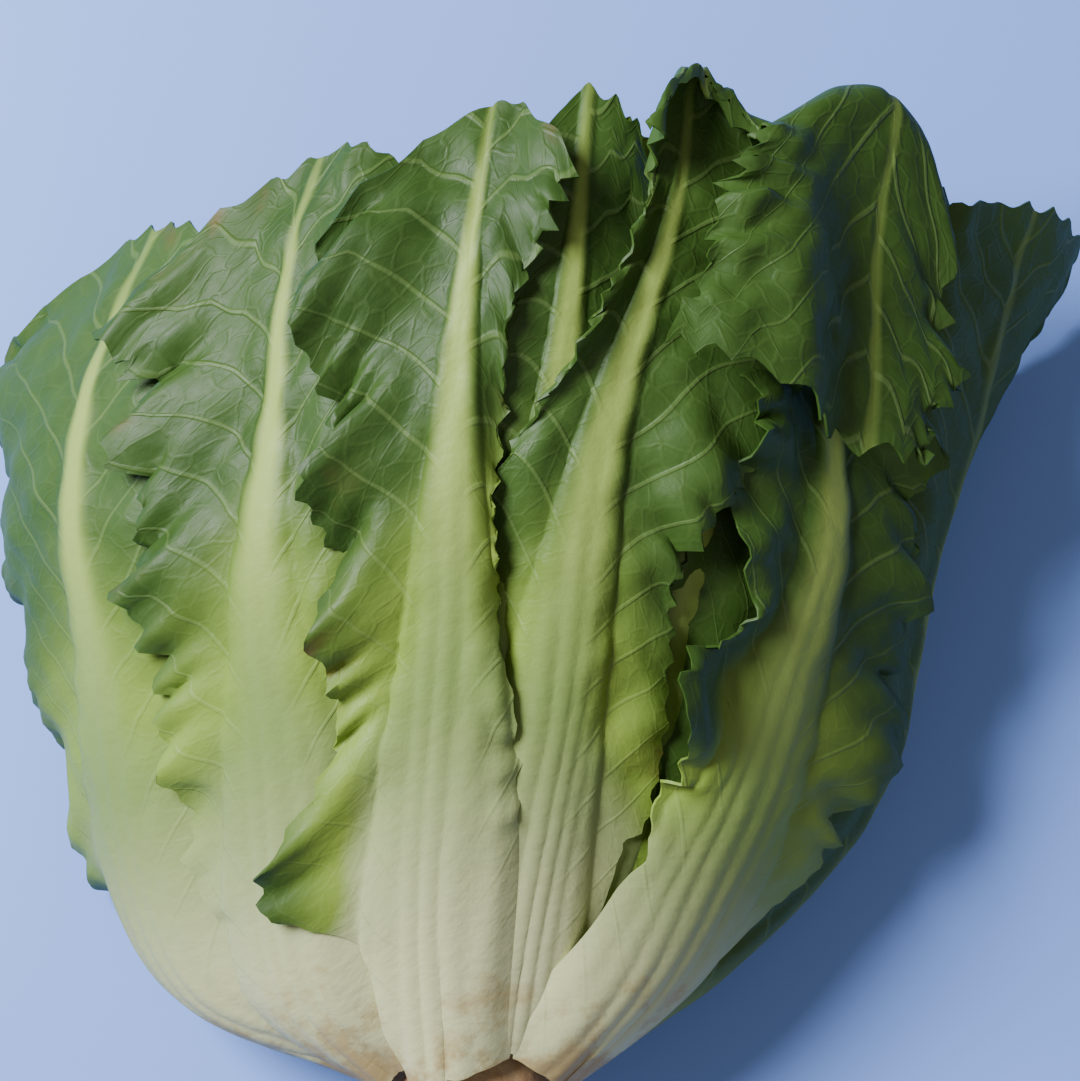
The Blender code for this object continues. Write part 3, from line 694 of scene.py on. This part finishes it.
def addLeafMesh(name, leaf, columns, rows, covers):
    surface = leafSurface(leaf, columns, rows, covers)
    rows = len(surface.points) - 1
    deselectAll()
    bpy.ops.mesh.primitive_grid_add(x_subdivisions=columns, y_subdivisions=rows, size=2)
    piece = nameNew(name)
    mesh = piece.data
    flat = np.zeros(len(mesh.vertices) * 3, np.float32)
    mesh.vertices.foreach_get("co", flat)
    flat = flat.reshape(-1, 3)
    column = np.rint((1 - flat[:, 0]) / 2 * columns).astype(int)  # the grid's +X is the leaf's right
    row = np.rint((flat[:, 1] + 1) / 2 * rows).astype(int)
    mesh.vertices.foreach_set("co", surface.points[row, column].astype(np.float32).ravel())
    for mark, values in surface.marks.items():
        layer = mesh.attributes.new(mark, "FLOAT", "POINT")
        layer.data.foreach_set("value", values[row, column].astype(np.float32))
    corners = np.zeros(len(mesh.loops), np.int32)
    mesh.loops.foreach_get("vertex_index", corners)
    uv = surface.uv[row[corners], column[corners]]
    mesh.uv_layers[0].data.foreach_set("uv", uv.astype(np.float32).ravel())
    addWall(piece, surface.thickness[row, column])
    bpy.ops.object.shade_smooth_by_angle(angle=math.radians(leafForm["smoothBelow"]))
    return piece


def finishPiece(piece, node, material):
    piece.data.materials.clear()
    piece.data.materials.append(material)
    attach(piece, "root")
    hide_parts(node)


# Small helpers for shader trees
def addNode(tree, kind, **settings):
    node = tree.nodes.new("ShaderNode" + kind)
    for key, value in settings.items():
        setattr(node, key, value)
    return node


def plug(tree, socket, value):
    if isinstance(value, bpy.types.NodeSocket):
        tree.links.new(value, socket)
    else:
        socket.default_value = value


def plugAll(tree, node, labels, values):
    for label, value in zip(labels, values):
        plug(tree, node.inputs[label], value)


def reckon(tree, operation, *values, clamp=False):
    node = addNode(tree, "Math", operation=operation, use_clamp=clamp)
    plugAll(tree, node, range(3), values)
    return node.outputs[0]


def multiply(tree, first, second):
    return reckon(tree, "MULTIPLY", first, second)


def centred(tree, value, strength):  # swings by up to half the strength either way
    return multiply(tree, reckon(tree, "SUBTRACT", value, 0.5), strength)


def blendColour(tree, factor, first, second):
    node = addNode(tree, "Mix", data_type="RGBA")
    plugAll(tree, node, (0, 6, 7), (factor, first, second))
    return node.outputs[2]


def stepBetween(tree, value, low, high, toLow=0.0, toHigh=1.0):
    node = addNode(tree, "MapRange", interpolation_type="SMOOTHSTEP")
    plugAll(tree, node, range(5), (value, low, high, toLow, toHigh))
    return node.outputs[0]


def readMark(tree, name):
    return addNode(tree, "Attribute", attribute_name=name).outputs["Fac"]


def splitUp(tree, vector):
    node = addNode(tree, "SeparateXYZ")
    plug(tree, node.inputs[0], vector)
    return node.outputs


noiseRange = (0.2, 0.8)  # where a noise texture has nearly all its values


def noiseAt(tree, vector, scale, detail, roughness=0.55):
    node = addNode(tree, "TexNoise")
    plugAll(tree, node, ("Vector", "Scale", "Detail", "Roughness"), (vector, scale, detail, roughness))
    return node.outputs["Fac"]


def addBump(tree, height, strength, distance):
    bump = addNode(tree, "Bump")
    plugAll(tree, bump, ("Height", "Strength", "Distance"), (height, strength, distance))
    return bump.outputs[0]


def newGroup(name, inputs, outputs):
    tree = bpy.data.node_groups.new(name, "ShaderNodeTree")
    for label, default in inputs:
        socket = tree.interface.new_socket(label, in_out="INPUT", socket_type="NodeSocketFloat")
        socket.default_value = default
    for label in outputs:
        tree.interface.new_socket(label, in_out="OUTPUT", socket_type="NodeSocketFloat")
    return tree, tree.nodes.new("NodeGroupInput"), tree.nodes.new("NodeGroupOutput")


def placeGroup(tree, group, **values):
    node = addNode(tree, "Group", node_tree=group)
    for label, value in values.items():
        plug(tree, node.inputs[label.replace("_", " ")], value)
    return node


def newMaterial(name):
    material = bpy.data.materials.new(name)
    material.use_nodes = True
    return material, material.node_tree.nodes["Principled BSDF"]


veinLook = {
    "rib": (0.25, 1.25),  # in rib widths
    "sideWidths": (0.075, 0.023),  # in vein spacings, at the rib and further out
    "sideWidthRun": 0.05,
    "sideEdge": (0.3, 1.0),
    "sideFade": (0.010, 0.055),
    "sideAtMargin": 0.15,
    "netDrift": 90.0,
    "netBend": (0.005, 0.005, 0.0),
    "netEdge": (0.02, 0.11),
    "sideHeight": 0.45,
    "netHeight": 0.12,
    "grain": (240.0, 4.0),
    "grainHeight": 0.5,
}


def netOfVeins(tree, uv, size):
    drift = addNode(tree, "TexNoise")
    plugAll(tree, drift, ("Vector", "Scale"), (uv, veinLook["netDrift"]))
    bent = addNode(tree, "VectorMath", operation="MULTIPLY_ADD")
    plugAll(tree, bent, range(3), (drift.outputs["Color"], veinLook["netBend"], uv))
    cells = addNode(tree, "TexVoronoi", feature="DISTANCE_TO_EDGE", voronoi_dimensions="2D")
    plugAll(tree, cells, ("Vector", "Scale"), (bent.outputs[0], reckon(tree, "DIVIDE", 1.0, size)))
    return stepBetween(tree, cells.outputs["Distance"], *veinLook["netEdge"], 1.0, 0.0)


def sideVeins(tree, aside):
    look = veinLook
    phase = reckon(tree, "FRACT", readMark(tree, "veinPhase"))
    fromMiddle = reckon(tree, "ABSOLUTE", reckon(tree, "SUBTRACT", phase, 0.5))
    fromVein = reckon(tree, "SUBTRACT", 0.5, fromMiddle)
    width = stepBetween(tree, aside, 0.0, look["sideWidthRun"], *look["sideWidths"])
    side = stepBetween(tree, reckon(tree, "DIVIDE", fromVein, width), *look["sideEdge"], 1.0, 0.0)
    return multiply(tree, side, stepBetween(tree, aside, *look["sideFade"], 1.0, look["sideAtMargin"]))


def veinGroup():  # rib, side veins and the net between them, from the leaf's own marks and UV map
    look = veinLook
    inputs = [("Net Size", 0.0065)]
    tree, given, made = newGroup("leafVeins", inputs, ["Rib", "Side Veins", "Net", "Height"])
    uv = addNode(tree, "UVMap").outputs[0]
    aside = reckon(tree, "ABSOLUTE", splitUp(tree, uv)[0])
    ratio = reckon(tree, "DIVIDE", aside, readMark(tree, "ribWidth"))
    rib = stepBetween(tree, ratio, *look["rib"], 1.0, 0.0)
    side = sideVeins(tree, aside)
    net = netOfVeins(tree, uv, given.outputs["Net Size"])
    height = multiply(tree, side, look["sideHeight"])
    height = reckon(tree, "ADD", height, multiply(tree, net, look["netHeight"]))
    offRib = reckon(tree, "SUBTRACT", 1.0, rib)
    height = multiply(tree, height, multiply(tree, offRib, readMark(tree, "along")))
    grain = noiseAt(tree, uv, *look["grain"])
    height = reckon(tree, "ADD", height, multiply(tree, grain, look["grainHeight"]))
    plugAll(tree, made, ("Rib", "Side Veins", "Net", "Height"), (rib, side, net, height))
    return tree


stainForm = {"detail": (5.0, 0.62), "edge": 0.80, "edgeDrop": 0.5, "softness": 0.16}


def stainGroup():  # brown dried patches near the cut end, and on the stem's cut face
    inputs = [("Reach", 0.05), ("Amount", 0.5), ("Size", 60.0)]
    tree, given, made = newGroup("cutStains", inputs, ["Mask", "Grain"])
    coords = addNode(tree, "TexCoord").outputs["Object"]
    fromCut = reckon(tree, "SUBTRACT", splitUp(tree, coords)[1], float(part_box("cut_stem")[0].y))
    away = reckon(tree, "DIVIDE", fromCut, given.outputs["Reach"])
    near = reckon(tree, "SUBTRACT", 1.0, away, clamp=True)
    patches = noiseAt(tree, coords, given.outputs["Size"], *stainForm["detail"])
    level = multiply(tree, near, given.outputs["Amount"])
    edge = reckon(tree, "SUBTRACT", stainForm["edge"], multiply(tree, level, stainForm["edgeDrop"]))
    mask = stepBetween(tree, patches, edge, reckon(tree, "ADD", edge, stainForm["softness"]))
    plugAll(tree, made, ("Mask", "Grain"), (multiply(tree, mask, near), patches))
    return tree


outerLook = {
    "dark": (0.023, 0.058, 0.009, 1),
    "mid": (0.068, 0.142, 0.021, 1),
    "young": (0.240, 0.355, 0.050, 1),
    "vein": (0.260, 0.370, 0.120, 1),
    "ribGreen": (0.370, 0.490, 0.105, 1),
    # stalk is a darker grey-green that the ribs pass through partway up: partly the stalks' own green,
    # partly painted shade
    "stalk": (0.225, 0.320, 0.086, 1),
    "cream": (0.700, 0.695, 0.390, 1),
    "stain": (0.430, 0.230, 0.070, 1),
    "toothTip": (0.180, 0.070, 0.020, 1),
    "glow": (0.300, 0.480, 0.030, 1),
    "glowShare": 0.55,
    "translucent": 0.20,
    "roughness": 0.50,
    "roughnessSwing": (-0.06, 0.08),
    "shine": 0.32,
    "netSize": 0.0060,
    "relief": (0.55, 0.0012),  # strength and depth of the bump
    "cloud": (26.0, 4.0, 0.6),  # broad patches of lighter and darker green
    "speckle": (160.0, 3.0, 0.6),
    "shades": (0.45, 0.55, 0.5),  # how much the leaf's own tone, the patches and the speckle count
    "cloudOnGreen": 0.35,
    "youngToGreen": (0.25, 0.95),
    "whiteToYoung": (0.02, 0.30),
    # where the pale stalks darken to the stalk colour, which is partly painted shade, and where they then
    # turn green
    "creamToStalkAndShade": (0.08, 0.44),
    "stalkAndShadeToGreen": (0.42, 0.72),
    "ribFade": (0.80, 1.03, 0.9, 0.28),  # where the rib's colour fades to the tip, from and to how much
    "netPale": 0.03,
    "sidePale": 0.21,
    "stainReach": 0.068,
    "stainAmount": 0.98,
    "stainDepth": 0.75,
    "brownPatches": (0.52, 0.68),
    "brownDepth": 0.8,
}
innerLook = dict(
    outerLook,
    dark=(0.080, 0.130, 0.014, 1),
    mid=(0.200, 0.290, 0.040, 1),
    young=(0.480, 0.540, 0.120, 1),
    stainAmount=0.1,
)
heartLook = dict(
    outerLook,
    dark=(0.260, 0.330, 0.050, 1),
    mid=(0.440, 0.500, 0.100, 1),
    young=(0.620, 0.640, 0.220, 1),
    toothTip=(0.300, 0.260, 0.080, 1),
    stainAmount=0.0,
)


def bladeColour(tree, look, stalkWithShade, cloud, speckle):
    ownTone, patches, specks = look["shades"]
    swing = centred(tree, cloud, look["cloudOnGreen"])
    green = reckon(tree, "ADD", readMark(tree, "green"), swing, clamp=True)
    shade = multiply(tree, readMark(tree, "tone"), ownTone)
    shade = reckon(tree, "ADD", shade, multiply(tree, cloud, patches))
    shade = reckon(tree, "ADD", shade, centred(tree, speckle, specks), clamp=True)
    blade = blendColour(tree, shade, look["dark"], look["mid"])
    blade = blendColour(tree, stepBetween(tree, green, *look["youngToGreen"]), look["young"], blade)
    return blendColour(tree, stepBetween(tree, green, *look["whiteToYoung"]), stalkWithShade, blade)


def leafColour(tree, look, pattern, stains, cloud, speckle):
    rib, side, net = (pattern.outputs[label] for label in ("Rib", "Side Veins", "Net"))
    along = readMark(tree, "along")
    # The stalks run from cream at the cut end to the darker stalk colour partway up, which is partly their
    # own green and partly painted shade
    stalkWithShade = blendColour(tree, stepBetween(tree, along, *look["creamToStalkAndShade"]), look["cream"], look["stalk"])
    blade = bladeColour(tree, look, stalkWithShade, cloud, speckle)
    pale = multiply(tree, net, look["netPale"])
    pale = reckon(tree, "MAXIMUM", pale, multiply(tree, side, look["sidePale"]))
    blade = blendColour(tree, pale, blade, look["vein"])
    stalk = blendColour(tree, stepBetween(tree, along, *look["stalkAndShadeToGreen"]), stalkWithShade, look["ribGreen"])
    ribShown = multiply(tree, rib, stepBetween(tree, along, *look["ribFade"]))
    colour = blendColour(tree, ribShown, blade, stalk)
    stain = placeGroup(tree, stains, Reach=look["stainReach"], Amount=look["stainAmount"]).outputs["Mask"]
    colour = blendColour(tree, multiply(tree, stain, look["stainDepth"]), colour, look["stain"])
    tips = multiply(tree, readMark(tree, "tooth"), stepBetween(tree, cloud, *look["brownPatches"]))
    return blendColour(tree, multiply(tree, tips, look["brownDepth"]), colour, look["toothTip"])


def leafMaterial(name, look, veins, stains):
    material, shader = newMaterial(name)
    tree = material.node_tree
    shader.inputs["Specular IOR Level"].default_value = look["shine"]
    coords = addNode(tree, "TexCoord").outputs["Object"]
    pattern = placeGroup(tree, veins, Net_Size=look["netSize"])
    cloud, speckle = noiseAt(tree, coords, *look["cloud"]), noiseAt(tree, coords, *look["speckle"])
    colour = leafColour(tree, look, pattern, stains, cloud, speckle)
    ends = [look["roughness"] + swing for swing in look["roughnessSwing"]]
    roughness = stepBetween(tree, speckle, *noiseRange, *ends)
    bump = addBump(tree, pattern.outputs["Height"], *look["relief"])
    plugAll(tree, shader, ("Base Color", "Roughness", "Normal"), (colour, roughness, bump))
    glow = addNode(tree, "BsdfTranslucent")
    glowColour = blendColour(tree, look["glowShare"], colour, look["glow"])
    plugAll(tree, glow, ("Color", "Normal"), (glowColour, bump))
    both = addNode(tree, "MixShader")
    plugAll(tree, both, range(3), (look["translucent"], shader.outputs[0], glow.outputs[0]))
    tree.links.new(both.outputs[0], tree.nodes["Material Output"].inputs[0])
    return material


stemLook = {
    "flesh": (0.560, 0.430, 0.230, 1),
    "dried": (0.250, 0.095, 0.028, 1),
    "rind": (0.600, 0.520, 0.300, 1),
    "roughness": (0.52, 0.72),
    "ringSpacing": 0.0034,
    "ringEdge": (0.05, 0.45),
    "wobble": (120.0, 4.0),
    "wobbleOfRings": 2.2,
    "driedRim": (0.012, 0.024, 0.1, 0.65),  # from and to which radius, and how much
    "stain": {"Reach": 0.012, "Amount": 1.0, "Size": 95.0},
    "stainDepth": 0.8,
    "relief": (0.5, 0.0012),
}


def stemMaterial(stains):
    look = stemLook
    material, shader = newMaterial("cutStem")
    tree = material.node_tree
    coords = addNode(tree, "TexCoord").outputs["Object"]
    low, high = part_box("cut_stem")
    centre = addNode(tree, "Mapping")
    plug(tree, centre.inputs["Vector"], coords)
    plug(tree, centre.inputs["Location"], (-(low.x + high.x) / 2, -low.y, -(low.z + high.z) / 2))
    place = splitUp(tree, centre.outputs[0])
    squares = [reckon(tree, "POWER", place[axis], 2.0) for axis in (0, 2)]
    radius = reckon(tree, "SQRT", reckon(tree, "ADD", *squares))
    wobble = noiseAt(tree, coords, *look["wobble"])
    rings = reckon(tree, "DIVIDE", radius, look["ringSpacing"])
    rings = reckon(tree, "ADD", rings, multiply(tree, wobble, look["wobbleOfRings"]))
    rings = reckon(tree, "ABSOLUTE", reckon(tree, "SUBTRACT", reckon(tree, "FRACT", rings), 0.5))
    stain = placeGroup(tree, stains, **look["stain"])
    colour = blendColour(tree, stepBetween(tree, rings, *look["ringEdge"]), look["rind"], look["flesh"])
    colour = blendColour(tree, stepBetween(tree, radius, *look["driedRim"]), colour, look["dried"])
    stained = multiply(tree, stain.outputs["Mask"], look["stainDepth"])
    colour = blendColour(tree, stained, colour, look["dried"])
    bump = addBump(tree, reckon(tree, "ADD", rings, stain.outputs["Grain"]), *look["relief"])
    roughness = stepBetween(tree, wobble, *noiseRange, *look["roughness"])
    plugAll(tree, shader, ("Base Color", "Roughness", "Normal"), (colour, roughness, bump))
    return material


veins = veinGroup()
stains = stainGroup()
outerLeaf = leafMaterial("outerLeaf", outerLook, veins, stains)
innerLeaf = leafMaterial("innerLeaf", innerLook, veins, stains)
heartLeaf = leafMaterial("heartLeaf", heartLook, veins, stains)
cutStem = stemMaterial(stains)
print("materials made")


def addLeaves():
    covers = [(leaf, marginAngles(leaf)) for leaf in leaves]
    for name, leaf in leafPieces.items():
        inner = name.startswith("inner")
        kind = "inner" if inner else "seen" if leaf.angle < underFrom else "under"
        columns, rows = leafGrids[kind]
        piece = addLeafMesh(name + "_fine", leaf, columns, rows, covers)
        finishPiece(piece, name, innerLeaf if inner else outerLeaf)
    return covers


def leafOfHeart(count, depth):
    form = heartForm
    angle = (form["goldenAngle"] * count) % 360
    length = form["length"] - form["lengthStep"] * count
    smaller = 1 - form["taper"] * count / form["leaves"]
    width = form["halfWidth"] * smaller
    return leafOf(angle, depth / headForm["shellStep"], length, width, width, form["stalk"] * smaller)


def addHeart(covers):
    parts = []
    depths = np.linspace(heartForm["start"], heartForm["end"], heartForm["leaves"])
    for count, depth in enumerate(depths):
        leaf = leafOfHeart(count, depth)
        parts.append(addLeafMesh(f"heart_leaf_{count}", leaf, *leafGrids["heart"], covers))
    parts.append(addHeartRoot())
    deselectAll()
    for part in parts:
        part.select_set(True)
    bpy.context.view_layer.objects.active = parts[0]
    bpy.ops.object.join()
    finishPiece(nameNew("heart_fine"), "heart", heartLeaf)


def coneRadius(along):  # of the cone that the leaves' feet stand on
    first, last = headForm["topSide"][0], headForm["middle"][0]
    slope = (last[0] - first[0]) / (last[1] - first[1])
    return first[0] + slope * (along - first[1])


def addHeartRoot():  # the short stem that the heart's leaves grow from
    deselectAll()
    sides = heartForm["rootSides"]
    bpy.ops.mesh.primitive_cylinder_add(vertices=sides, radius=1, depth=2, end_fill_type="NGON")
    root = bpy.context.active_object
    first, last = headForm["topSide"][0][1], headForm["middle"][0][1]
    for vertex in root.data.vertices:
        depth = heartForm["start"] if vertex.co.z < 0 else 1.0
        along = first + (last - first) * depth
        radius = coneRadius(along) + heartForm["rootCover"]
        place = layDown(np.array([vertex.co.x * radius, along, -vertex.co.y * radius]))
        vertex.co = Vector(place + headShift)
    return root


stemForm = {
    "radius": 0.0235,
    "bevel": 0.0022,
    "bevelShare": 0.6,  # of the bevel, from the rim inwards
    "top": 0.047,
    "clearance": 0.0019,
    "sides": 96,
    "faceRings": 9,
    "cutFacing": -0.9,  # the faces that look further down than this are the cut end
    "rimInset": 0.06,
    "ringInset": 0.09,
    "rimFrom": 0.97,
    "faceTo": 0.94,
    "lobes": 8,
    "lobeDepth": 0.0009,
    "lobeAtRim": 0.5,
    "hollow": 0.0012,  # how far the dried cut face has sunk in its middle
    "roughness": 0.0005,
    "roughScale": 4.3,
    "smoothBelow": 40,  # degrees
}


def ringCutFace(stem):  # rings of faces on the cut end, closed in its middle
    bpy.ops.object.mode_set(mode="EDIT")
    bpy.ops.mesh.select_all(action="DESELECT")
    bpy.ops.object.mode_set(mode="OBJECT")
    for face in stem.data.polygons:
        face.select = face.normal.z < stemForm["cutFacing"]
    bpy.ops.object.mode_set(mode="EDIT")
    bpy.ops.mesh.inset(thickness=stemForm["rimInset"], depth=0)
    for ring in range(stemForm["faceRings"]):
        bpy.ops.mesh.inset(thickness=stemForm["ringInset"], depth=0)
    bpy.ops.mesh.merge(type="CENTER")
    bpy.ops.mesh.select_all(action="SELECT")
    bpy.ops.mesh.normals_make_consistent(inside=False)
    bpy.ops.object.mode_set(mode="OBJECT")


def stemPlace(point):  # radius and distance from the cut end of a point of the plain cylinder
    form = stemForm
    share = math.hypot(point.x, point.y)
    lobe = form["lobeDepth"] * math.cos(form["lobes"] * math.atan2(point.y, point.x)) * share
    if point.z > 0:
        return coneRadius(form["top"]) - form["clearance"], form["top"]
    if share > form["rimFrom"]:
        return form["radius"] + lobe * form["lobeAtRim"], form["bevel"]
    rough = form["roughness"] * (1 + noise.noise(point * form["roughScale"]))
    radius = (form["radius"] - form["bevel"] * form["bevelShare"] + lobe) * share / form["faceTo"]
    return radius, form["hollow"] * float(ease(1 - share)) + rough


def addStem():
    deselectAll()
    bpy.ops.mesh.primitive_cylinder_add(vertices=stemForm["sides"], radius=1, depth=1, end_fill_type="NGON")
    stem = nameNew("cut_stem_fine")
    ringCutFace(stem)
    for vertex in stem.data.vertices:
        angle = math.atan2(vertex.co.y, vertex.co.x)
        radius, along = stemPlace(vertex.co)
        place = layDown(np.array([math.cos(angle) * radius, along, -math.sin(angle) * radius]))
        vertex.co = Vector(place + headShift)
    bpy.ops.object.shade_smooth_by_angle(angle=math.radians(stemForm["smoothBelow"]))
    finishPiece(stem, "cut_stem", cutStem)


covers = addLeaves()
print("leaves made")
addHeart(covers)
print("heart made")
addStem()
print("stem made")

floorLook = {"colour": (0.195, 0.345, 0.880, 1), "roughness": 0.55, "size": 6.0, "drop": 0.0003}


def addFloor():
    deselectAll()
    bpy.ops.mesh.primitive_plane_add(size=floorLook["size"], location=(0, 0, -floorLook["drop"]))
    floor = bpy.context.active_object
    floor.name = "floor"
    material, shader = newMaterial("paleFloor")
    shader.inputs["Base Color"].default_value = floorLook["colour"]
    shader.inputs["Roughness"].default_value = floorLook["roughness"]
    floor.data.materials.append(material)


lights = {
    "window": {"at": (-0.88, 0.42, 1.15), "size": 0.75, "power": 56, "colour": (0.93, 0.97, 1.0)},
    "room": {"at": (0.9, -0.7, 1.5), "size": 2.0, "power": 4, "colour": (0.80, 0.88, 1.0)},
}
roomLight = {"colour": (1.0, 0.89, 0.76, 1), "strength": 0.22}


def addLights():
    for name, light in lights.items():
        data = bpy.data.lights.new(name, "AREA")
        data.shape = "DISK"
        data.size = light["size"]
        data.energy = light["power"]
        data.color = light["colour"]
        lamp = bpy.data.objects.new(name, data)
        lamp.location = light["at"]
        lamp.rotation_euler = (-Vector(light["at"])).to_track_quat("-Z", "Y").to_euler()
        bpy.context.scene.collection.objects.link(lamp)
    world = bpy.data.worlds.new("room")
    world.use_nodes = True
    background = world.node_tree.nodes["Background"]
    background.inputs["Color"].default_value = roomLight["colour"]
    background.inputs["Strength"].default_value = roomLight["strength"]
    bpy.context.scene.world = world


# The photo looks down on the head from its cut end; aim is in the head's own place
view = {
    "elevation": 82,
    "distance": 0.92,
    "aim": (0.0190, 0.1535, 0.060),
    "lens": 110,
    "sensor": 36,
    "nearest": 0.01,
}


def addCamera():
    data = bpy.data.cameras.new("camera")
    data.lens = view["lens"]
    data.sensor_width = view["sensor"]
    data.clip_start = view["nearest"]
    data.dof.use_dof = False
    camera = bpy.data.objects.new("camera", data)
    bpy.context.scene.collection.objects.link(camera)
    tilt = math.radians(view["elevation"])
    back = Vector((0, -math.cos(tilt), math.sin(tilt)))
    camera.location = Vector(view["aim"]) + Vector(headShift) + back * view["distance"]
    camera.rotation_euler = (math.pi / 2 - tilt, 0, 0)
    bpy.context.scene.camera = camera


addFloor()
addLights()
addCamera()
